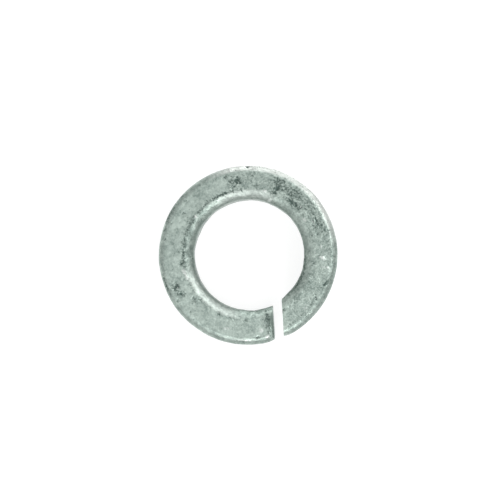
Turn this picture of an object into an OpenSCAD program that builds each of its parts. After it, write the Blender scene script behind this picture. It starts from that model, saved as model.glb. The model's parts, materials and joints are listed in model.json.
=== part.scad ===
// Spring lock washer: one left-hand turn of near-square wire with a slanted split.
// Millimetres. The bore runs along Z, the low end rests at z = 0 and the split opens towards -Y.

/* [Wire] */
// Diameter of the bore
bore_d = 25.6; // [18:0.1:50]
// Width of the wire, from the bore to the rim
wire_w = 7.65; // [5:0.05:12]
// Mean thickness of the wire
wire_t = 6.35; // [4:0.05:10]
// Extra thickness at the bore compared with the rim
wire_taper = 0.2; // [0:0.05:0.6]
// Height gained in one full turn
rise = 6.6; // [1:0.1:12]

/* [Split] */
// Gap between the two ends, measured square to the cut
split_gap = 2.3; // [0.8:0.1:4]
// Slant of the cut away from the radial line, in degrees
split_slant = 21; // [0:1:28]
// Width of the sheared bevel on the low end, at the rim
shear_rim_w = 1.15; // [0.5:0.05:2]
// Width of the same bevel at the bore
shear_bore_w = 0.6; // [0:0.05:1.5]
// Drop of the bevel over its width at the rim
shear_drop = 0.6; // [0.2:0.05:1]
// How far the rim corner of the low end is drawn in
low_tip_in = 0.15; // [0.1:0.05:0.8]
// How far the rim corner of the high end is drawn in
high_tip_in = 0.35; // [0.1:0.05:0.8]
// How far the bore corners of both ends are eased open
tip_out = 0.15; // [0.1:0.05:0.6]
// Length over which the ends are eased
tip_length = 2; // [1:0.1:4]

/* [Edges] */
// Radial width of the rounding at the bore
bore_round_w = 2.1; // [0.8:0.05:2.8]
// Height of the rounding at the bore
bore_round_h = 1.3; // [0.5:0.05:1.5]
// Radial width of the rounding at the rim
rim_round_w = 1.15; // [0.5:0.05:2.2]
// Height of the rounding at the rim
rim_round_h = 1; // [0.5:0.05:1.3]

/* [Smoothness] */
// Steps round the full turn
turn_steps = 92; // [60:2:120]
// Steps in each rounding
round_steps = 5; // [3:1:6]

/* [Hidden] */
$fn = 180;
bore_r = bore_d / 2;
rim_r = bore_r + wire_w;
mid_r = (bore_r + rim_r) / 2;
// The wire is swept this much past the bore and rim, which true cylinders then trim.
over = 0.35;
// The rounding leaves the wall at this angle.
lead = 25;
zinc = [0.67, 0.71, 0.68];

// Thickness of the wire at a distance u out from the bore.
function thick(u) = wire_t + wire_taper * (0.5 - u / wire_w);

// Height lost while a rounding's first slope runs on through the wall.
function run_on(w, h) = over * h * pow(cos(lead), 2) / (w * sin(lead) * (1 - sin(lead)));

// One rounding of width w and height h, from past the wall to the flat.
function corner(w, h) = concat(
    [[-over, -h - run_on(w, h)]],
    [
        for (i = [1 : round_steps])
            let (a = lead + (90 - lead) * i / round_steps)
            [w * (cos(lead) - cos(a)) / cos(lead), -h * (1 - sin(a)) / (1 - sin(lead))]
    ]
);

// Upper half of the section as [distance out from the bore, height above the middle].
bore_half = [for (q = corner(bore_round_w, bore_round_h)) [q[0], thick(q[0]) / 2 + q[1]]];
rim_half = [for (q = corner(rim_round_w, rim_round_h)) [wire_w - q[0], thick(wire_w - q[0]) / 2 + q[1]]];
upper = concat(bore_half, [for (i = [len(rim_half) - 1 : -1 : 0]) rim_half[i]]);
lower = [for (i = [len(upper) - 1 : -1 : 0]) [upper[i][0], -upper[i][1]]];
section = concat(upper, lower);
count = len(section);

// Turn, clockwise from the middle of the split, at which an end's cut crosses radius r.
function cut_turn(side, r) = split_slant + asin((side * split_gap / 2 - mid_r * sin(split_slant)) / r);

// Share of the turn done at step k; the first and last four steps are half as long.
function share(k) = (k + min(max(k - 4, 0), turn_steps - 8)) / (2 * turn_steps - 8);

// How far the end easing has set in at a share s of the turn: 1 at either end, 0 away from them.
function easing(s) = pow(max(0, 1 - min(s, 1 - s) * 2 * PI * mid_r / tip_length), 2);

// Radius of a section point u out from the bore, at a share s of the turn.
function radius(u, s) =
    let (e = easing(s))
    let (drawn_in = s < 0.5 ? low_tip_in : high_tip_in)
    let (low = bore_r - over + (over + tip_out) * e)
    let (high = rim_r + over - (over + drawn_in) * e)
    low + (high - low) * (u + over) / (wire_w + 2 * over);

// Turn of a point at radius r, at a share s of the way from cut to cut.
function turn(r, s) =
    let (from = cut_turn(1, r))
    from + (360 + cut_turn(-1, r) - from) * s;

// A section point placed on the coil, before it is set down on z = 0.
function placed(q, s) =
    let (r = radius(q[0], s))
    let (a = turn(r, s))
    [-r * sin(a), -r * cos(a), rise * a / 360 + q[1]];

low_end = [for (q = section) placed(q, 0)];
base_z = min([for (q = low_end) q[2]]);

// The wire, coiled through one turn.
module coil() {
    coil_points = [
        for (k = [0 : turn_steps])
            for (q = section)
                placed(q, share(k)) - [0, 0, base_z]
    ];
    coil_faces = [
        for (k = [0 : turn_steps - 1])
            for (i = [0 : count - 1])
                let (j = (i + 1) % count)
                each [
                    [k * count + i, k * count + j, (k + 1) * count + j],
                    [k * count + i, (k + 1) * count + j, (k + 1) * count + i]
                ]
    ];
    first_cap = [for (i = [count - 1 : -1 : 0]) i];
    last_cap = [for (i = [0 : count - 1]) turn_steps * count + i];
    polyhedron(points = coil_points, faces = concat(coil_faces, [first_cap], [last_cap]));
}

// A true cylinder, tall enough to pass right through.
module drum(r) {
    translate([0, 0, -rise - wire_t])
        cylinder(r = r, h = 3 * (rise + wire_t));
}

// The space sheared off the upper edge of the low end, wider at the rim than at the bore.
module shear() {
    splay = atan((shear_rim_w - shear_bore_w) / wire_w);
    dip = atan(shear_drop / (shear_rim_w * cos(splay)));
    deep = 3 * shear_rim_w;
    a = cut_turn(1, bore_r);
    top_z = rise * a / 360 + thick(0) / 2 - base_z;
    translate([-bore_r * sin(a), -bore_r * cos(a), top_z])
        rotate([0, 0, -90 - split_slant])
            intersection() {
                translate([0, -shear_bore_w, 0])
                    rotate([0, 0, -splay])
                        rotate([-dip, 0, 0])
                            translate([-1, -deep, 0])
                                cube([wire_w + 3, 2 * deep, deep]);
                // It stays on the low end's side of the gap.
                translate([-2, -deep, -wire_t / 2])
                    cube([wire_w + 5, deep + split_gap / 2, wire_t]);
            }
}

// The whole washer.
module washer() {
    color(zinc)
        difference() {
            intersection() {
                coil();
                drum(rim_r);
            }
            drum(bore_r);
            shear();
        }
}

washer();
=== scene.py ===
"""A zinc coated spring lock washer, lying on a white table and seen from above."""
import json
import math

import bpy
from mathutils import Matrix, Vector, noise


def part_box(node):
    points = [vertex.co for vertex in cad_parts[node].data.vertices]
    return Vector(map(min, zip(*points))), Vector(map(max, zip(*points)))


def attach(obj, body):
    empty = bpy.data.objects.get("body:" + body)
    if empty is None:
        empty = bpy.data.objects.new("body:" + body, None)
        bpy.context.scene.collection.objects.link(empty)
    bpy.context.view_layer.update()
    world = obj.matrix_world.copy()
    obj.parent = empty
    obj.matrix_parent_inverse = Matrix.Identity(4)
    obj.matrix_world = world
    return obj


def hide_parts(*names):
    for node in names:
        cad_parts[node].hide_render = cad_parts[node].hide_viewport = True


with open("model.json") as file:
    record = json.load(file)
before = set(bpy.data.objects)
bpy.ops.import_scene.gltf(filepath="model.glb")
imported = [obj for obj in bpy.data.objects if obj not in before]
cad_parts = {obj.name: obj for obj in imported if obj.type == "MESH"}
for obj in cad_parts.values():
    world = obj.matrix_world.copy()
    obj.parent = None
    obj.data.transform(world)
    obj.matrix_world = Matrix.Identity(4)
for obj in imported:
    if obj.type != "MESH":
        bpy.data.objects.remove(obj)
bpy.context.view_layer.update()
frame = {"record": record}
low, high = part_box("washer")

# Sizes are in millimetres and angles in degrees, unless a comment says otherwise.
MM = 0.001

# The wire: its mean thickness, how much thicker it is at the bore than at the rim, and its rise in one turn
WIRE_T = 6.35
WIRE_TAPER = 0.2
RISE = 6.6
# How much the coat narrows the bore all round, and how far the bore is off the rim's centre
BORE_BUILD_UP = 0.15
BORE_OFF_CENTRE = 0.3
BORE_R = frame["record"]["mounts"][0]["dims"]["r_mm"] - BORE_BUILD_UP
RIM_R = (high.x - low.x) / 2 / MM
MIDDLE_R = (BORE_R + RIM_R) / 2
WIRE_W = RIM_R - BORE_R

# The roundings: width, height, and how full the curve is
BORE_ROUND_W, BORE_ROUND_H, BORE_FULLNESS = 2.3, 1.7, 0.39
RIM_ROUND_W, RIM_ROUND_H, RIM_FULLNESS = 1.45, 1.1, 0.38

# The split: its width and slant, and the bevel sheared off the low end's upper edge, with its width at the
# rim and at the bore and its drop
SPLIT_GAP = 2.3
SPLIT_SLANT = 21.0
SHEAR_W = 1.15
SHEAR_BORE_W = 0.6
SHEAR_DROP = 0.6
# Each end's side, as in cut_turn, with how far shearing drew its rim corner and its bore corner outwards, or
# inwards if below 0; and how far from the corner that is felt
TIP_PULLS = ((1, -0.4, 0.15), (-1, -0.3, 0.15))
TIP_REACH = 2.6

# How finely the surface is drawn, and how much the coil is wound past either end before it is cut
TURN_STEPS = 620
FLAT_CUTS = 22
WALL_CUTS = 19
BORE_ROUND_CUTS = 14
RIM_ROUND_CUTS = 8
SPARE_TURN = 16.0
# How near a place counts as on the bore or the rim, how finely a cut plane snaps, in metres, and the angle
# between faces under which they shade as one smooth surface
NEAR = 0.01
SNAP = 1e-6
SMOOTH_UNDER = 38
# What counts as a level and as a long edge of the section, and how far off an upright edge's points may be
LEVEL = 0.3
LONG = 2
TIP_NEAR = 0.12
TIP_HEIGHT = 4
# How far along the turn from the split an end's faces are cut, and the low end's are sheared
CUT_TURN = 45
SHEAR_TURN = 25

# Where the rim's upper edge is worn to a slope, by radius and turn, how far along the turn that sets in and
# fades, how far its edge wanders, and how steep the slope is
WORN_FROM = 19.0
WORN_TURNS = (185, 273)
WORN_FADES = (24, 30)
WORN_WANDER = 0.25
WORN_SLOPE = 0.40
# The stretch of the turn where the bore is off centre, and how far along that sets in and fades
SHIFTED_TURNS = (8, 350)
SHIFTED_FADES = (30, 30)

# The uneven surface: how far the coat swells, how uneven the bore's rounding is and how far past it, how
# rough the grain is, the size of each one's lumps, and how deep the pits and how high the raised specks are
SWELL, SWELL_SIZE = 0.16, 5.0
ROUNDING_SWELL, ROUNDING_SWELL_SIZE, ROUNDING_SWELL_PAST = 0.24, 3.2, 0.6
GRAIN, GRAIN_SIZE = 0.09, 0.9
PIT_DEPTH = 0.16
LUMP_HEIGHT = 0.12

# Marks on the upper side. Each has its turn clockwise from the split, its radius, its length along the wire
# and its width, its heading from the wire towards the rim, and its strength from 0 to 1.
PITS = (
    (18.0, 18.9, 1.0, 0.5, 10, 1.0),
    (69.1, 16.15, 0.7, 0.4, 20, 0.6),
    (70.6, 18.46, 0.7, 0.5, -30, 0.6),
    (76.6, 15.96, 1.2, 0.5, -15, 1.0),
    (82.3, 19.25, 0.7, 0.4, 0, 0.6),
    (83.7, 17.5, 1.0, 0.4, 40, 0.9),
    (86.0, 18.1, 1.4, 0.4, 50, 0.8),
    (90.8, 18.6, 1.5, 0.5, 5, 0.8),
    (92.8, 17.75, 1.2, 0.7, -20, 0.9),
    (107.1, 15.7, 1.0, 0.5, -35, 0.9),
    (126.3, 19.2, 0.9, 0.35, -20, 0.5),
    (135.5, 17.4, 1.0, 0.35, 20, 0.5),
    (138.1, 18.8, 1.0, 0.45, -10, 0.8),
    (147.7, 17.65, 0.8, 0.4, -15, 0.7),
    (155.8, 19.0, 0.6, 0.5, 0, 0.7),
    (169.4, 19.3, 0.6, 0.4, 10, 0.6),
    (189.1, 18.7, 1.2, 0.9, 60, 0.7),
    (190.2, 17.1, 1.0, 0.5, 70, 0.6),
    (192.3, 15.6, 1.4, 0.5, 40, 0.7),
    (196.2, 17.2, 1.3, 0.9, -30, 0.9),
    (198.5, 16.6, 1.0, 0.6, 20, 0.7),
    (205.0, 20.25, 0.9, 0.7, 0, 1.0),
    (210.2, 15.8, 1.8, 0.5, -15, 0.6),
    (227.3, 18.0, 1.2, 0.8, 30, 0.7),
    (228.4, 16.1, 1.4, 1.0, -20, 1.0),
    (243.0, 15.5, 1.2, 0.5, -10, 0.8),
    (248.5, 15.6, 1.4, 0.6, 0, 1.0),
    (269.7, 17.3, 1.4, 0.4, -5, 0.7),
    (277.9, 16.6, 1.0, 0.9, 0, 0.5),
    (316.5, 18.7, 1.6, 0.5, -25, 0.9),
    (327.7, 18.2, 0.8, 0.5, 60, 0.6),
)
LUMPS = (
    (11.5, 19.1, 1.3, 0.5, 0, 0.9),
    (14.5, 17.5, 0.8, 0.6, 40, 0.6),
    (27.5, 19.5, 3.6, 0.4, 0, 0.6),
    (42.5, 17.6, 0.9, 0.5, 10, 0.5),
    (97.0, 15.1, 1.6, 0.5, 10, 0.7),
    (150.9, 14.9, 0.9, 0.5, 60, 0.9),
    (219.7, 14.9, 0.9, 0.6, 20, 0.8),
    (226.0, 13.2, 0.8, 0.5, 30, 0.8),
    (264.0, 15.0, 0.8, 0.6, 50, 0.5),
    (289.1, 16.7, 0.7, 0.5, 20, 0.5),
    (297.8, 17.1, 0.9, 0.6, 60, 0.8),
    (304.5, 18.4, 0.8, 0.4, 70, 0.7),
    (304.5, 17.5, 0.7, 0.3, 70, 0.6),
    (338.0, 17.9, 0.8, 0.3, 10, 0.4),
)
STAINS_AND_SHADES = (
    # Painted shade: a dark band across the low end beside the split, where the high end shades it
    (7.5, 16.5, 1.6, 6.5, 0, 0.7),
    (87.0, 18.0, 3.5, 1.6, 20, 0.45),
    (88.3, 20.0, 1.2, 0.4, 0, 0.6),
    (97.0, 20.0, 4.5, 0.5, 0, 0.6),
    # The stains at about radius 15 from here on are dark lines along the crease: painted shade
    (113.0, 15.2, 4.0, 0.7, 0, 0.35),
    (119.0, 14.9, 9.0, 0.8, 0, 0.55),
    (140.0, 15.0, 7.0, 1.0, 0, 0.5),
    (143.0, 20.1, 7.0, 0.7, 0, 0.6),
    (160.0, 15.0, 4.0, 0.6, 0, 0.6),
    (178.5, 14.95, 4.0, 0.55, 0, 0.9),
    (186.4, 14.8, 1.6, 0.5, 0, 0.9),
    (195.0, 17.0, 4.5, 2.4, 30, 0.5),
    (206.0, 17.2, 4.0, 3.0, 0, 0.25),
    (225.5, 17.9, 1.8, 1.0, 60, 0.58),
    (229.0, 17.0, 3.5, 3.6, 0, 0.58),
    (232.0, 18.3, 2.2, 0.8, -40, 0.43),
    (236.5, 17.2, 2.4, 1.0, 30, 0.43),
    (240.0, 16.4, 2.0, 0.9, -20, 0.50),
    (243.0, 17.2, 5.0, 3.4, 0, 0.50),
    (246.5, 15.5, 4.2, 0.9, 0, 0.65),
    (252.5, 17.8, 2.4, 0.6, 40, 0.43),
    (256.0, 16.8, 2.6, 0.8, -30, 0.43),
    (258.0, 17.0, 5.0, 3.6, 0, 0.40),
    (262.0, 17.4, 2.2, 0.6, 20, 0.43),
    (266.5, 18.4, 2.4, 0.8, -20, 0.43),
    (272.0, 17.6, 6.0, 3.2, 0, 0.43),
    (276.0, 18.0, 2.0, 0.8, 10, 0.36),
    (283.0, 17.6, 2.4, 1.2, 0, 0.29),
    (290.0, 18.8, 5.0, 1.6, 0, 0.25),
    (316.0, 18.8, 3.0, 0.9, -20, 0.5),
    # Painted shade: a broad faint darkening of the flat on the right
    (318.0, 16.8, 34.0, 7.5, 0, 0.12),
    # Painted shade along the bore's steep edge beside the high end
    (322.0, 13.2, 9.0, 0.6, 0, 0.6),
    (334.0, 18.5, 2.5, 0.6, 15, 0.4),
    (343.0, 18.5, 3.5, 0.5, 0, 0.4),
    (352.0, 18.6, 3.0, 0.5, 0, 0.45),
)
# How far along the turn each kind of mark may still be felt, and how dirty a pit is
PITS_REACH = 9
LUMPS_REACH = 14
STAINS_AND_SHADES_REACH = 28
PIT_DIRT = 0.85
# A mark's outline: how ragged it is in broad lumps and in fine ones, the size of both, how much further than
# its outline it fades, as a square, and how steeply
RAGGED, RAGGED_SIZE = 0.7, 1.3
FINE_RAGGED, FINE_RAGGED_SIZE = 0.8, 0.45
MARK_FADE = 2.2
MARK_FALL = 1.5
# A weight under which a vertex group leaves a place out, and the share of the wire's thickness above its
# middle from which a place is on the upper side
FAINT = 0.01
UPPER_SIDE = 0.2
# The crease where the bore's rounding meets the flat: how far past the rounding it runs, how far it wanders
# to either side, how wide it is, how strong it is in the middle and how much more or less than that, and how
# strongly it counts among the pits and, as painted shade in the crease, among the stains
CREASE_PAST = 0.12
CREASE_WANDER = 0.22
CREASE_W = 0.36
CREASE_STRENGTH, CREASE_SWING = 0.3, 1.3
CREASE_SHARE = 0.6
# The drifts along the wire, each with its length of turn and its own row of the noise, and how much the
# crease's quick wander counts beside its slow one
SLOW_WANDER = (14, 3.7)
QUICK_WANDER = (4, 6.2)
CREASE_FADE = (5, 9.1)
WORN_EDGE = (6, 1.3)
QUICK_SHARE = 0.5
# Stretches of the turn where the roundings at the bore and at the rim get a pale painted highlight, where the
# lamps' highlights fall, how far along each sets in and fades, how strong the bore's are, how far past its
# rounding they go, how far across both fade out, and how far below the upper roundings
HIGHLIGHT_BORE_TURNS, HIGHLIGHT_BORE_FADES = ((27, 106), (165, 235)), (20, 14)
HIGHLIGHT_RIM_TURNS, HIGHLIGHT_RIM_FADES = (175, 290), (20, 20)
HIGHLIGHT_BORE_SHARE = 0.4
HIGHLIGHT_PAST = 0.15
HIGHLIGHT_BORE_FADE, HIGHLIGHT_RIM_FADE = 0.5, 0.6
HIGHLIGHT_BELOW = 0.7
# The painted shade on the bore's wall and its steep edge: how dark it is everywhere; how much darker at the
# front left, and that stretch's middle and reach; how much darker beside the high end, where that begins and
# how soon it is full; and how far from the bore it goes, how much further at the front left, and how it fades
BORE_SHADE = 0.24
LEFT_SHADE, LEFT_AT, LEFT_REACH = 0.26, 78, 50
HIGH_END_SHADE, HIGH_END_FROM, HIGH_END_FADE = 0.2, 270, 25
BORE_SHADE_W, LEFT_SHADE_W, BORE_SHADE_FADE = 0.55, 0.2, 0.3
# The painted shade on a stretch of the bore's rounding on the left: how dark it is, its middle, its reach and
# how far across it fades
ROUNDING_SHADE, ROUNDING_SHADE_AT, ROUNDING_SHADE_REACH, ROUNDING_SHADE_FADE = 0.2, 134, 44, 0.5
# The smeared stretch of the flat: its middle and reach, the radius from which it sets in and how soon, how
# far from the rim it ends and how soon, and how much of it is left on the worn slope and how near the rim
SMEARED_AT, SMEARED_REACH = 245, 42
SMEARED_FROM, SMEARED_FADE_IN = 15.0, 1.5
SMEARED_SHORT, SMEARED_FADE_OUT = 1.2, 0.4
SLOPE_SMEARED, SLOPE_SHORT = 0.35, 0.1

# The displacements' vertex groups and the tints' attributes; the tints hold painted shade, painted highlights
# and painted glints beside the coat's own stains and smears
PUSHES = ("sunk", "raised", "worn", "filled", "rounding", "bore_side")
TINTS = ("dirt_and_shade", "painted_shade", "painted_glint", "painted_highlight", "smeared")

# The coat's colours
DARK_ZINC = (0.22, 0.275, 0.25, 1)
LIGHT_ZINC = (0.48, 0.565, 0.515, 1)
# A paler, more even colour, painted on the roundings as highlights
PAINTED_HIGHLIGHT_ZINC = (0.605, 0.638, 0.608, 1)
# A bright colour, painted on the raised specks as glints
PAINTED_GLINT_ZINC = (0.76, 0.80, 0.77, 1)
# The dark colour of the dirt, and of the painted shade at the bore and in the crease
DIRT_AND_SHADE = (0.07, 0.10, 0.088, 1)
# The noises of the grain, the streaks and the scratches, each with its scale to the millimetre, its detail
# and its roughness
PATCHES = (0.26, 2.0, 0.55)
BLOTCHES = (0.85, 3.0, 0.6)
SPECKS = (2.3, 3.0, 0.65)
PORES = (1.9, 2.0, 0.7)
STREAKS = (1.5, 3.0, 0.6)
SCRATCHES = (1.0, 3.0, 0.6)
# How much the streaks are drawn out along the wire, the radius at which the coil unrolls to its true length,
# and the scratches' two kinds with their headings, lengths and widths
STREAK_DRAW = 6.0
UNROLL_R = 17.0
SCRATCH_KINDS = (("Scratches", 32, 1.9, 0.32), ("Smears", -10, 2.2, 0.5))
# The span of each noise over which its effect goes from none to full
TONE_SPAN = (0.38, 0.62)
STREAKS_SPAN = (0.3, 0.7)
SCRATCHES_SPAN = (0.52, 0.62)
SMEARS_SPAN = (0.46, 0.6)
PORES_SPAN = (0.64, 0.72)
CROWDING_SPAN = (0.35, 0.65)
SPECKS_SPAN = (0.34, 0.64)
# What each effect comes to: the shares of patches, blotches and specks in the tone, how far the streaks swing
# it and the scratches lighten it, how pale the painted highlights are, how dirty smears and pores are, how
# much the blotches crowd the pores, what stains and painted shade gain where the specks are least and where
# they are most, and how dark they have to be to gain all of that
TONE_SHARES = (0.25, 0.4, 0.35)
STREAKS_SWING = 0.12
SCRATCHES_LIGHT = 0.9
PAINTED_HIGHLIGHT_PALE = 0.9
SMEARS_DIRT = 0.35
PORES_DIRT = 0.5
PORES_CROWDING = 0.03
STAIN_GAIN = (0.5, -0.45)
STAIN_FROM = 0.35
# How rough the coat is where it is dark and where it is light, how metallic it is, and how strongly and, in
# metres, how deeply its specks are felt as bumps
ROUGH_DARK, ROUGH_LIGHT = 0.38, 0.28
METAL = 0.9
BUMP = 0.6
BUMP_DEPTH = 0.00014

# The table: its width and how far it lies below the washer, in metres, its colour, how rough it is, and how
# brightly it glows to make the background white
TABLE_W = 4
TABLE_DROP = 0.00002
TABLE_GREY = (0.35, 0.35, 0.35, 1)
TABLE_ROUGH = 0.9
TABLE_GLOW = 0.74
# The sky's colours, low down and overhead, the heights between which they change, and its strength
SKY_LOW = (0.55, 0.55, 0.55, 1)
SKY_TOP = (1, 1, 1, 1)
SKY_SPAN = (0.1, 0.95)
SKY_STRENGTH = 0.955
# The lamps: where each stands in the view, anticlockwise from the right, how high it stands, its width in
# metres and its power in watts; and how far off they all are, in metres
LAMPS = (
    ("key", 36, 48, 0.4, 0.86),
    ("low_key", 88, 20, 0.3, 0.65),
    ("left_fill", -94, 48, 0.34, 0.5),
    ("right_fill", -54, 47, 0.26, 0.55),
    ("bounce", -148, 44, 0.5, 0.2),
)
LAMP_DISTANCE = 0.6

# The camera: how far it leans to the right of and above the bore's axis, how far the washer's own frame is
# turned in its view, how far off it is, where it aims, its lens, and its nearest and furthest sight in metres
CAMERA_RIGHT = 2.2
CAMERA_UP = -3.0
CAMERA_ROLL = 24.96
CAMERA_DISTANCE = 350.0
AIM_RIGHT = 0.45
AIM_UP = 1.28
CAMERA_LENS = 109.7
CAMERA_SENSOR = 36.0
CAMERA_SIGHT = (0.01, 10)


def deselect_all():
    """Leaves nothing selected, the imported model's nodes included."""
    if bpy.context.object and bpy.context.object.mode != "OBJECT":
        bpy.ops.object.mode_set(mode="OBJECT")
    bpy.ops.object.select_all(action="DESELECT")


def make_active(piece):
    """Selects one piece alone, for the next operator."""
    deselect_all()
    piece.select_set(True)
    bpy.context.view_layer.objects.active = piece


def select_parts(piece, verts=None, edges=None, faces=None):
    """In edit mode, selects the vertices, edges or faces that a test picks out."""
    bpy.ops.object.mode_set(mode="EDIT")
    bpy.ops.mesh.select_all(action="DESELECT")
    kind = "VERT" if verts else "EDGE" if edges else "FACE"
    bpy.ops.mesh.select_mode(type=kind)
    bpy.ops.object.mode_set(mode="OBJECT")
    mesh = piece.data
    if verts:
        for v in mesh.vertices:
            v.select = verts(v.co)
    if edges:
        for e in mesh.edges:
            e.select = edges(*[mesh.vertices[i].co for i in e.vertices])
    if faces:
        for f in mesh.polygons:
            f.select = faces(f.center)
    bpy.ops.object.mode_set(mode="EDIT")


def apply_modifier(piece, name):
    """Makes a modifier's result the piece's own mesh."""
    make_active(piece)
    bpy.ops.object.modifier_apply(modifier=name)


def apply_place(piece):
    """Moves a piece's place and turn into its mesh, so that its object sits at the origin."""
    make_active(piece)
    bpy.ops.object.transform_apply(location=True, rotation=True, scale=True)


def held(value):
    """A number kept between 0 and 1."""
    return min(1, max(0, value))


def within(turn, stretch, fades):
    """How far inside a stretch of the turn a place is: 0 at its ends, 1 or more where its fades are over, and
    below 0 outside."""
    start, end = stretch
    fade_in, fade_out = fades
    return min((turn - start) / fade_in, (end - turn) / fade_out)


def hump(turn, middle, reach):
    """1 at the middle of a stretch of the turn, falling to 0 at its reach to either side."""
    return max(0, 1 - ((turn - middle) / reach) ** 2)


def drift(turn, length, row):
    """A number between -1 and 1 that drifts along the wire, over about a length of turn. Each row differs."""
    return noise.noise(Vector((turn / length, row, 0)))


def round_corners(piece, near, width, height, cuts, fullness):
    """Rounds the section's corners that the test picks. A fullness of 0.5 gives a quarter ellipse, and
    less gives a flatter curve that meets the flat at an edge."""
    stretch = width / height
    select_parts(piece, verts=lambda co: True)
    bpy.ops.transform.resize(value=(1, 1, stretch), center_override=(0, 0, 0))
    select_parts(piece, verts=near)
    bpy.ops.mesh.bevel(offset=width * MM, segments=cuts, affect="VERTICES", profile=fullness)
    bpy.ops.mesh.select_all(action="SELECT")
    bpy.ops.transform.resize(value=(1, 1, 1 / stretch), center_override=(0, 0, 0))
    bpy.ops.object.mode_set(mode="OBJECT")


def cut_edges(piece, long_edge, cuts):
    """Divides the section's edges that a test picks out, so that displacements can shape them."""
    select_parts(piece, edges=long_edge)
    bpy.ops.mesh.subdivide(number_cuts=cuts)
    bpy.ops.object.mode_set(mode="OBJECT")


def draw_section():
    """The wire's section as a closed loop, standing in the XZ plane to the right of the axis."""
    deselect_all()
    bpy.ops.mesh.primitive_plane_add(size=1, location=(0, 0, 0), rotation=(math.pi / 2, 0, 0))
    piece = bpy.context.object
    piece.name = "zinc_washer"
    apply_place(piece)
    bpy.ops.object.mode_set(mode="EDIT")
    bpy.ops.transform.resize(value=(WIRE_W * MM, 1, WIRE_T * MM), center_override=(0, 0, 0))
    bpy.ops.transform.translate(value=(MIDDLE_R * MM, 0, 0))
    for inner, share in ((True, 0.5), (False, -0.5)):
        select_parts(piece, verts=lambda co: (co.x < MIDDLE_R * MM) == inner)
        grow = 1 + share * WIRE_TAPER / WIRE_T
        bpy.ops.transform.resize(value=(1, 1, grow), center_override=(0, 0, 0))
    rim = (RIM_ROUND_W, RIM_ROUND_H, RIM_ROUND_CUTS, RIM_FULLNESS)
    bore = (BORE_ROUND_W, BORE_ROUND_H, BORE_ROUND_CUTS, BORE_FULLNESS)
    round_corners(piece, lambda co: co.x > (RIM_R - NEAR) * MM, *rim)
    round_corners(piece, lambda co: co.x < (BORE_R + NEAR) * MM, *bore)
    select_parts(piece, faces=lambda co: True)
    bpy.ops.mesh.delete(type="ONLY_FACE")
    cut_edges(piece, lambda a, b: abs(a.z - b.z) < LEVEL * MM and abs(a.x - b.x) > LONG * MM, FLAT_CUTS)
    cut_edges(piece, lambda a, b: abs(a.z - b.z) > LONG * MM, WALL_CUTS)
    return piece


def coil_up(piece):
    """Winds the section clockwise round the axis and upwards, a little more than one turn, from the split."""
    sweep = 360 + 2 * SPARE_TURN
    screw = piece.modifiers.new("coil", "SCREW")
    screw.axis = "Z"
    screw.angle = -math.radians(sweep)
    screw.screw_offset = RISE * MM * sweep / 360
    screw.steps = TURN_STEPS
    screw.render_steps = TURN_STEPS
    screw.use_smooth_shade = True
    apply_modifier(piece, "coil")
    piece.rotation_euler = (0, 0, math.radians(SPARE_TURN - 90))
    piece.location = (0, 0, -RISE * MM * SPARE_TURN / 360)
    apply_place(piece)


def turn_at(co):
    """How far round the coil a point is, clockwise from the middle of the split."""
    plain = (-90 - math.degrees(math.atan2(co.y, co.x))) % 360
    return plain + 360 * round(co.z / (RISE * MM) - plain / 360)


def cut_turn(side, radius):
    """The turn at which a cut crosses a radius: side is 1 for the low end and -1 for the high end."""
    lean = side * SPLIT_GAP / 2 - MIDDLE_R * math.sin(math.radians(SPLIT_SLANT))
    return SPLIT_SLANT + math.degrees(math.asin(lean / radius))


def on_coil(turn, radius, height):
    """The point at a turn, a radius and a height above the wire's middle."""
    a = math.radians(turn)
    rise = RISE * turn / 360 + height
    return Vector((-radius * math.sin(a), -radius * math.cos(a), rise)) * MM


def across_split():
    """The direction square to the split's slanted faces, from the middle of the gap towards the low end."""
    slant = math.radians(SPLIT_SLANT)
    return Vector((-math.cos(slant), math.sin(slant), 0))


def cut_off(piece, side):
    """Cuts one end of the coil along the slanted split and closes it: side is as in cut_turn."""
    across = across_split() * side
    place = Vector((0, -MIDDLE_R * MM, 0)) + across * SPLIT_GAP / 2 * MM
    select_parts(piece, faces=lambda co: turn_at(co) < CUT_TURN if side > 0 else turn_at(co) > 360 - CUT_TURN)
    bpy.ops.mesh.bisect(plane_co=place, plane_no=across, use_fill=True, clear_inner=True, threshold=SNAP)
    bpy.ops.object.mode_set(mode="OBJECT")


def shear_off(piece):
    """Takes the sheared bevel off the upper edge of the low end, wider towards the rim."""
    slant = math.radians(SPLIT_SLANT)
    across = across_split()
    outward = Vector((-math.sin(slant), -math.cos(slant), 0)) * WIRE_W
    edge = outward + across * (SHEAR_W - SHEAR_BORE_W)
    down = across * SHEAR_W + Vector((0, 0, SHEAR_DROP))
    bore_corner = on_coil(cut_turn(1, BORE_R), BORE_R, (WIRE_T + WIRE_TAPER / 2) / 2)
    start = bore_corner + across * SHEAR_BORE_W * MM
    normal = edge.cross(down).normalized()
    normal *= math.copysign(1, normal.z)
    select_parts(piece, faces=lambda co: turn_at(co) < SHEAR_TURN)
    bpy.ops.mesh.bisect(plane_co=start, plane_no=normal, use_fill=True, clear_outer=True, threshold=SNAP)
    bpy.ops.object.mode_set(mode="OBJECT")


def draw_tip(piece, edge, pull):
    """Draws the upright edge at one corner of an end outwards from the axis, or inwards if below 0."""

    def on_edge(co):
        """Whether a vertex is on the upright edge."""
        return (co.xy - edge.xy).length < TIP_NEAR * MM and abs(co.z - edge.z) < TIP_HEIGHT * MM

    select_parts(piece, verts=on_edge)
    bpy.ops.transform.translate(
        value=edge.xy.normalized().to_3d() * pull * MM,
        use_proportional_edit=True,
        proportional_edit_falloff="SHARP",
        proportional_size=TIP_REACH * MM,
    )
    bpy.ops.object.mode_set(mode="OBJECT")


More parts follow.
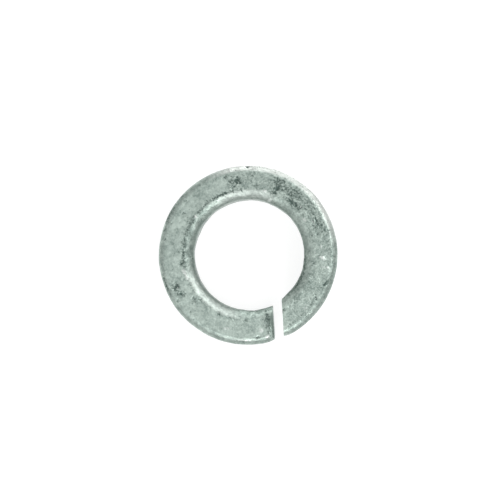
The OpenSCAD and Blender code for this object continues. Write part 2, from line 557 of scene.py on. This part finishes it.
def draw_tips(piece):
    """Draws each end's rim corner inwards and its bore corner outwards, as shearing leaves them."""
    for side, rim_pull, bore_pull in TIP_PULLS:
        for radius, pull in ((RIM_R, rim_pull), (BORE_R, bore_pull)):
            turn = cut_turn(side, radius) + (0 if side > 0 else 360)
            draw_tip(piece, on_coil(turn, radius, 0), pull)


def ragged(co):
    """A number around 1 that wanders from place to place, to roughen the outline of a mark."""
    broad = RAGGED * noise.noise(co / (RAGGED_SIZE * MM))
    fine = FINE_RAGGED * noise.noise(co / (FINE_RAGGED_SIZE * MM))
    return 1 + broad + fine


def felt(mark, turn, radius, co):
    """How strongly a mark is felt at a place on the upper side, from 0 to 1."""
    at_turn, at_radius, length, width, heading, strength = mark
    along = math.radians(turn - at_turn) * at_radius
    outwards = radius - at_radius
    h = math.radians(heading)
    u = (along * math.cos(h) + outwards * math.sin(h)) / (length / 2)
    v = (outwards * math.cos(h) - along * math.sin(h)) / (width / 2)
    off = math.hypot(u, v) * ragged(co)
    return strength * max(0, 1 - off * off / MARK_FADE) ** MARK_FALL


def strongest(marks, reach, turn, radius, co):
    """How strongly the strongest of the marks within reach along the turn is felt at a place."""
    return max([felt(mark, turn, radius, co) for mark in marks if abs(turn - mark[0]) < reach], default=0)


def unless_faint(weight):
    """A vertex group's weight, or 0 where it is too small to be worth noting."""
    return weight if weight > FAINT else 0


def crease_at(turn, radius, co):
    """The fine crease where the bore's rounding meets the flat: most in its wandering bottom, 0 beside it. It
    sinks the surface there, and its darkening is painted shade.
    """
    wander = drift(turn, *SLOW_WANDER) + QUICK_SHARE * drift(turn, *QUICK_WANDER)
    fade = (CREASE_STRENGTH + CREASE_SWING * drift(turn, *CREASE_FADE)) * ragged(co)
    middle = BORE_R + BORE_ROUND_W + CREASE_PAST + CREASE_WANDER * wander
    return max(0, fade) * math.exp(-((radius - middle) / CREASE_W) ** 2)


def painted_highlight_at(turn, radius, height):
    """How strongly the upper roundings at the bore and the rim get a pale, even painted highlight, from 0 to
    1.
    """
    by_bore = max(within(turn, stretch, HIGHLIGHT_BORE_FADES) for stretch in HIGHLIGHT_BORE_TURNS)
    by_rim = within(turn, HIGHLIGHT_RIM_TURNS, HIGHLIGHT_RIM_FADES)
    bore_edge = (BORE_R + BORE_ROUND_W + HIGHLIGHT_PAST - radius) / HIGHLIGHT_BORE_FADE
    rim_edge = (radius - RIM_R + RIM_ROUND_W) / HIGHLIGHT_RIM_FADE
    upper = held(height - WIRE_T / 2 + BORE_ROUND_H + HIGHLIGHT_BELOW)
    return max(0, min(1, by_bore, bore_edge) * HIGHLIGHT_BORE_SHARE, min(1, by_rim, rim_edge)) * upper


def painted_shade_at(turn, radius):
    """How much painted shade darkens the bore's wall and its steep edge: most at the front left and beside
    the high end. Further round on the left, the whole rounding gets a little painted shade too."""
    left = hump(turn, LEFT_AT, LEFT_REACH)
    high_end = held((turn - HIGH_END_FROM) / HIGH_END_FADE)
    strength = BORE_SHADE + LEFT_SHADE * left + HIGH_END_SHADE * high_end
    reach = BORE_R + BORE_SHADE_W + LEFT_SHADE_W * left
    edge = strength * held((reach - radius) / BORE_SHADE_FADE)
    rounding_shade = ROUNDING_SHADE * hump(turn, ROUNDING_SHADE_AT, ROUNDING_SHADE_REACH)
    return max(edge, rounding_shade * held((BORE_R + BORE_ROUND_W - radius) / ROUNDING_SHADE_FADE))


def wear_at(turn, radius, height):
    """How far the rim's upper edge is worn down, or filled up if below 0, to reach its slope."""
    share = min(1, within(turn, WORN_TURNS, WORN_FADES))
    flat = (WIRE_T + WIRE_TAPER * (0.5 - (radius - BORE_R) / WIRE_W)) / 2
    inwards = WORN_FROM + WORN_WANDER * drift(turn, *WORN_EDGE)
    if share <= 0 or radius < inwards or radius > RIM_R - NEAR:
        return 0
    return share * (WORN_SLOPE * (radius - inwards) - (flat - height))


def smeared_at(turn, radius):
    """How smeared and scratched the flat is: most in the soiled stretch of the high half, near the rim."""
    from_bore = (radius - SMEARED_FROM) / SMEARED_FADE_IN
    from_rim = (RIM_R - SMEARED_SHORT - radius) / SMEARED_FADE_OUT
    on_slope = SLOPE_SMEARED if radius < RIM_R - SLOPE_SHORT else 0
    return hump(turn, SMEARED_AT, SMEARED_REACH) * min(1, max(on_slope, min(from_bore, from_rim)))


def marks_at(co):
    """How strongly each displacement and each tint is felt at a place on the coat."""
    turn = turn_at(co)
    radius = co.xy.length / MM
    height = co.z / MM - RISE * turn / 360
    shifted = held(within(turn, SHIFTED_TURNS, SHIFTED_FADES))
    near_bore = max(0, 1 - (radius - BORE_R) / (BORE_ROUND_W + ROUNDING_SWELL_PAST))
    pushes = {
        "bore_side": shifted * max(0, (RIM_R - radius) / WIRE_W),
        "rounding": near_bore ** 0.5,
    }
    # The roundings' painted highlights, and the painted shade at the bore
    tints = {"painted_highlight": painted_highlight_at(turn, radius, height), "painted_shade": painted_shade_at(turn, radius)}
    if height < WIRE_T * UPPER_SIDE:
        return pushes, tints
    pit = strongest(PITS, PITS_REACH, turn, radius, co)
    lump = strongest(LUMPS, LUMPS_REACH, turn, radius, co)
    stain_and_shade = strongest(STAINS_AND_SHADES, STAINS_AND_SHADES_REACH, turn, radius, co)
    crease = crease_at(turn, radius, co)
    wear = wear_at(turn, radius, height)
    pushes["sunk"] = unless_faint(min(1, pit + CREASE_SHARE * crease))
    pushes["raised"] = unless_faint(lump)
    pushes["worn"] = max(0, wear)
    pushes["filled"] = max(0, -wear)
    # Stains, pits and the crease darken the coat; the crease's share and a few of the stains are painted
    # shade
    tints["dirt_and_shade"] = min(1, PIT_DIRT * pit + stain_and_shade + CREASE_SHARE * crease)
    # The raised specks are painted bright, as glints
    tints["painted_glint"] = lump
    tints["smeared"] = smeared_at(turn, radius)
    return pushes, tints


def mark_coat(piece):
    """Notes the coat's wear, marks and tints on its vertices, as vertex groups and as attributes. Among the
    tints are painted shade, painted highlights and painted glints.
    """
    mesh = piece.data
    groups = {name: piece.vertex_groups.new(name=name) for name in PUSHES}
    shades = {name: [0.0] * len(mesh.vertices) for name in TINTS}
    for v in mesh.vertices:
        pushes, tints = marks_at(v.co)
        for name, weight in pushes.items():
            if weight > 0:
                groups[name].add([v.index], weight, "REPLACE")
        for name, strength in tints.items():
            shades[name][v.index] = strength
    for name, values in shades.items():
        mesh.attributes.new(name, "FLOAT", "POINT").data.foreach_set("value", values)


def press(piece, name, strength, group="", lumps=0, depth=1, way="NORMAL"):
    """Moves the surface in and out, or one way, as far as a vertex group says, or by a noise with lumps of
    a size."""
    push = piece.modifiers.new(name, "DISPLACE")
    push.strength = strength * MM
    push.direction = way
    push.vertex_group = group
    push.mid_level = 0
    if lumps:
        texture = bpy.data.textures.new(name, "CLOUDS")
        texture.noise_scale = lumps * MM
        texture.noise_depth = depth
        push.texture = texture
        push.texture_coords = "LOCAL"
        push.mid_level = 0.5
    apply_modifier(piece, name)


def wear_coat(piece):
    """Wears the rim, shifts the bore, and makes the coat uneven, pitted and grained, in that order."""
    press(piece, "worn_rim", -1.0, group="worn", way="Z")
    press(piece, "filled_rim", 1.0, group="filled", way="Z")
    press(piece, "bore_off_centre", BORE_OFF_CENTRE, group="bore_side", way="X")
    press(piece, "swell", SWELL, lumps=SWELL_SIZE)
    press(piece, "uneven_rounding", ROUNDING_SWELL, group="rounding", lumps=ROUNDING_SWELL_SIZE)
    press(piece, "sunk_marks", -PIT_DEPTH, group="sunk")
    press(piece, "raised_marks", LUMP_HEIGHT, group="raised")
    press(piece, "grain", GRAIN, lumps=GRAIN_SIZE, depth=2)


def rest_on_table(piece):
    """Sets the piece down, so that its lowest point is at the table's level."""
    piece.location.z = -min(v.co.z for v in piece.data.vertices)
    apply_place(piece)


def build_washer():
    """The whole washer: a section, wound up, cut, sheared, worn and coated."""
    piece = draw_section()
    coil_up(piece)
    cut_off(piece, 1)
    cut_off(piece, -1)
    shear_off(piece)
    draw_tips(piece)
    mark_coat(piece)
    wear_coat(piece)
    rest_on_table(piece)
    piece.data.materials.append(zinc_coat())
    bpy.ops.object.shade_smooth_by_angle(angle=math.radians(SMOOTH_UNDER))
    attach(piece, "root")
    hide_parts("washer")


class Graph:
    """Adds nodes to a node tree: inputs are given by name or number, as values or as other nodes' outputs."""

    def __init__(self, tree):
        """Works on one tree."""
        self.tree = tree

    def add(self, kind, inputs=None, **settings):
        """Adds a node of a kind, sets it up and feeds its inputs."""
        node = self.tree.nodes.new(kind)
        for name, value in settings.items():
            setattr(node, name, value)
        for name, value in (inputs or {}).items():
            if isinstance(value, bpy.types.NodeSocket):
                self.link(value, node.inputs[name])
            else:
                node.inputs[name].default_value = value
        return node

    def link(self, output, socket):
        """Feeds a node's output to another node's input."""
        self.tree.links.new(output, socket)

    def math(self, operation, a, b=0.0):
        """One sum on two numbers, such as ADD or MAXIMUM."""
        return self.add("ShaderNodeMath", {0: a, 1: b}, operation=operation).outputs[0]

    def times(self, a, b):
        """The product of two numbers."""
        return self.math("MULTIPLY", a, b)

    def total(self, first, *others):
        """Two or more numbers added up."""
        for other in others:
            first = self.math("ADD", first, other)
        return first

    def noise(self, vector, scale, detail, roughness):
        """A noise that changes from place to place."""
        inputs = {"Vector": vector, "Scale": scale, "Detail": detail, "Roughness": roughness}
        return self.add("ShaderNodeTexNoise", inputs).outputs[0]

    def remap(self, value, from_low, from_high, to_low=0.0, to_high=1.0):
        """Stretches a number from one span to another, and holds it there."""
        inputs = {0: value, 1: from_low, 2: from_high, 3: to_low, 4: to_high}
        return self.add("ShaderNodeMapRange", inputs).outputs[0]

    def blend(self, factor, a, b):
        """Mixes two colours, which are the Mix node's inputs 6 and 7, with the result at output 2."""
        inputs = {0: factor, 6: a, 7: b}
        return self.add("ShaderNodeMix", inputs, data_type="RGBA").outputs[2]

    def attribute(self, name):
        """One of the TINTS."""
        return self.add("ShaderNodeAttribute", attribute_name=name).outputs["Fac"]


def new_group(name, *outputs):
    """An empty shader node group that takes a place in millimetres and gives numbers, the graph to fill it
    with, its place, and the sockets for its results."""
    tree = bpy.data.node_groups.new(name, "ShaderNodeTree")
    tree.interface.new_socket("Place", in_out="INPUT", socket_type="NodeSocketVector")
    for label in outputs:
        tree.interface.new_socket(label, in_out="OUTPUT", socket_type="NodeSocketFloat")
    graph = Graph(tree)
    return graph, graph.add("NodeGroupInput").outputs["Place"], graph.add("NodeGroupOutput").inputs


def zinc_grain_group():
    """The coat's grain, in patches, blotches and specks. Tone runs from dark to light, and Pores are the
    small dark pinholes."""
    graph, place, results = new_group("zinc_grain", "Tone", "Specks", "Pores")
    patches = graph.noise(place, *PATCHES)
    blotches = graph.noise(place, *BLOTCHES)
    specks = graph.noise(place, *SPECKS)
    parts = [graph.times(part, share) for part, share in zip((patches, blotches, specks), TONE_SHARES)]
    crowding = graph.remap(blotches, *CROWDING_SPAN, PORES_CROWDING, -PORES_CROWDING)
    pores = graph.total(graph.noise(place, *PORES), crowding)
    graph.link(graph.remap(graph.total(*parts), *TONE_SPAN), results["Tone"])
    graph.link(specks, results["Specks"])
    graph.link(graph.remap(pores, *PORES_SPAN), results["Pores"])
    return graph.tree


def wire_streaks_group():
    """Faint streaks along the wire, and scratches at two headings to it. The seam lies in the split."""
    graph, place, results = new_group("wire_streaks", "Streaks", "Scratches", "Smears")
    x, y, z = graph.add("ShaderNodeSeparateXYZ", {0: place}).outputs
    angle = graph.math("ARCTAN2", x, y)
    radius = graph.math("SQRT", graph.total(graph.times(x, x), graph.times(y, y)))
    drawn_out = graph.add("ShaderNodeCombineXYZ", {0: graph.times(angle, STREAK_DRAW), 1: radius, 2: z})
    graph.link(graph.noise(drawn_out.outputs[0], *STREAKS), results["Streaks"])
    unrolled = graph.add("ShaderNodeCombineXYZ", {0: graph.times(angle, UNROLL_R), 1: radius}).outputs[0]
    for label, heading, length, width in SCRATCH_KINDS:
        turn = (0, 0, math.radians(heading))
        inputs = {"Vector": unrolled, "Rotation": turn, "Scale": (length, width, 1)}
        turned = graph.add("ShaderNodeMapping", inputs, vector_type="TEXTURE").outputs[0]
        graph.link(graph.noise(turned, *SCRATCHES), results[label])
    return graph.tree


def coat_tone(graph, grain, streaks, smeared):
    """How light the zinc is: its grain, the streaks along the wire, and the light scratches in the smears."""
    along_wire = graph.remap(streaks["Streaks"], *STREAKS_SPAN, -STREAKS_SWING, STREAKS_SWING)
    scratches = graph.remap(streaks["Scratches"], *SCRATCHES_SPAN, 0.0, SCRATCHES_LIGHT)
    return graph.total(grain["Tone"], along_wire, graph.times(smeared, scratches))


def coat_dirt_and_shade(graph, grain, streaks, smeared):
    """How dark the zinc is made: its stains and the painted shade in its crease, broken up by the specks, the
    painted shade at its bore, its smears and its pinholes.
    """
    stains_and_shade = graph.attribute("dirt_and_shade")
    uneven = graph.remap(grain["Specks"], *SPECKS_SPAN, *STAIN_GAIN)
    broken_up = graph.times(graph.remap(stains_and_shade, 0.0, STAIN_FROM), uneven)
    smears = graph.times(smeared, graph.remap(streaks["Smears"], *SMEARS_SPAN, 0.0, SMEARS_DIRT))
    dirt_and_shade = graph.total(stains_and_shade, broken_up, graph.attribute("painted_shade"), smears)
    return graph.math("MAXIMUM", dirt_and_shade, graph.times(grain["Pores"], PORES_DIRT))


def zinc_coat():
    """Dull zinc: a mottled metal, dark in its pits and stains, with painted shade at the bore and in the
    crease, painted glints on its raised specks and painted highlights on its roundings.
    """
    mat = bpy.data.materials.new("zinc_coat")
    mat.use_nodes = True
    graph = Graph(mat.node_tree)
    shader = mat.node_tree.nodes["Principled BSDF"].inputs
    coords = graph.add("ShaderNodeTexCoord").outputs["Object"]
    place = graph.add("ShaderNodeVectorMath", {0: coords, "Scale": 1 / MM}, operation="SCALE").outputs[0]
    grain = graph.add("ShaderNodeGroup", node_tree=zinc_grain_group())
    streaks = graph.add("ShaderNodeGroup", node_tree=wire_streaks_group())
    for group in (grain, streaks):
        graph.link(place, group.inputs["Place"])
    smeared = graph.attribute("smeared")
    tone = coat_tone(graph, grain.outputs, streaks.outputs, smeared)
    dirt_and_shade = coat_dirt_and_shade(graph, grain.outputs, streaks.outputs, smeared)
    colour = graph.blend(tone, DARK_ZINC, LIGHT_ZINC)
    # Painted highlights on the roundings
    colour = graph.blend(graph.times(graph.attribute("painted_highlight"), PAINTED_HIGHLIGHT_PALE), colour, PAINTED_HIGHLIGHT_ZINC)
    # Dirt, with painted shade at the bore and in the crease
    colour = graph.blend(dirt_and_shade, colour, DIRT_AND_SHADE)
    # Painted glints on the raised specks
    colour = graph.blend(graph.attribute("painted_glint"), colour, PAINTED_GLINT_ZINC)
    graph.link(colour, shader["Base Color"])
    graph.link(graph.remap(tone, 0.0, 1.0, ROUGH_DARK, ROUGH_LIGHT), shader["Roughness"])
    shader["Metallic"].default_value = METAL
    bump_inputs = {"Height": grain.outputs["Specks"], "Strength": BUMP, "Distance": BUMP_DEPTH}
    graph.link(graph.add("ShaderNodeBump", bump_inputs).outputs["Normal"], shader["Normal"])
    return mat


def white_table():
    """Grey under the lamps, so that it keeps the washer's shadow, with a glow that makes it show white."""
    mat = bpy.data.materials.new("white_table")
    mat.use_nodes = True
    graph = Graph(mat.node_tree)
    surface = mat.node_tree.nodes["Principled BSDF"]
    surface.inputs["Base Color"].default_value = TABLE_GREY
    surface.inputs["Roughness"].default_value = TABLE_ROUGH
    path = graph.add("ShaderNodeLightPath").outputs
    seen = graph.math("MAXIMUM", path["Is Camera Ray"], path["Is Glossy Ray"])
    seen = graph.math("MAXIMUM", seen, path["Is Transmission Ray"])
    glow = graph.add("ShaderNodeEmission", {"Strength": graph.times(seen, TABLE_GLOW)})
    both = graph.add("ShaderNodeAddShader", {0: surface.outputs[0], 1: glow.outputs[0]})
    graph.link(both.outputs[0], mat.node_tree.nodes["Material Output"].inputs["Surface"])
    return mat


def build_table():
    """A pale table that shows white wherever the washer doesn't shade it."""
    deselect_all()
    bpy.ops.mesh.primitive_plane_add(size=TABLE_W, location=(0, 0, -TABLE_DROP))
    table = bpy.context.object
    table.name = "table"
    table.data.materials.append(white_table())


def build_world():
    """An even studio sky, brightest overhead."""
    world = bpy.data.worlds.new("studio")
    bpy.context.scene.world = world
    world.use_nodes = True
    graph = Graph(world.node_tree)
    back = world.node_tree.nodes["Background"]
    way = graph.add("ShaderNodeTexCoord").outputs["Generated"]
    height = graph.add("ShaderNodeSeparateXYZ", {0: way}).outputs[2]
    shade = graph.blend(graph.remap(height, *SKY_SPAN), SKY_LOW, SKY_TOP)
    graph.link(shade, back.inputs["Color"])
    back.inputs["Strength"].default_value = SKY_STRENGTH


def add_lamp(name, bearing, elevation, size, power):
    """A round soft lamp, aimed at the washer."""
    a = math.radians(bearing - CAMERA_ROLL)
    e = math.radians(elevation)
    way = Vector((math.cos(a) * math.cos(e), math.sin(a) * math.cos(e), math.sin(e)))
    data = bpy.data.lights.new(name, "AREA")
    data.shape = "DISK"
    data.size = size
    data.energy = power
    lamp = bpy.data.objects.new(name, data)
    bpy.context.scene.collection.objects.link(lamp)
    lamp.rotation_mode = "QUATERNION"
    lamp.rotation_quaternion = way.to_track_quat("Z", "Y")
    lamp.location = way * LAMP_DISTANCE


def build_camera():
    """Stands above the washer, a little right of and in front of its axis."""
    turn = Matrix.Rotation(-math.radians(CAMERA_ROLL), 3, "Z")
    rightwards = math.tan(math.radians(CAMERA_RIGHT))
    upwards = math.tan(math.radians(CAMERA_UP))
    lean = Vector((rightwards, upwards, 1)).normalized()
    right = Vector((0, 1, 0)).cross(lean).normalized()
    up = lean.cross(right)
    place = (AIM_RIGHT * right + AIM_UP * up + CAMERA_DISTANCE * lean) * MM
    centre = Vector((0, 0, (RISE + WIRE_T) / 2 * MM))
    data = bpy.data.cameras.new("camera")
    data.lens = CAMERA_LENS
    data.sensor_width = CAMERA_SENSOR
    data.clip_start, data.clip_end = CAMERA_SIGHT
    camera = bpy.data.objects.new("camera", data)
    bpy.context.scene.collection.objects.link(camera)
    axes = Matrix((turn @ right, turn @ up, turn @ lean)).transposed()
    camera.matrix_world = Matrix.Translation(centre + turn @ place) @ axes.to_4x4()
    bpy.context.scene.camera = camera


build_washer()
build_table()
build_world()
for lamp_facts in LAMPS:
    add_lamp(*lamp_facts)
build_camera()
bpy.context.scene.view_settings.view_transform = "Standard"
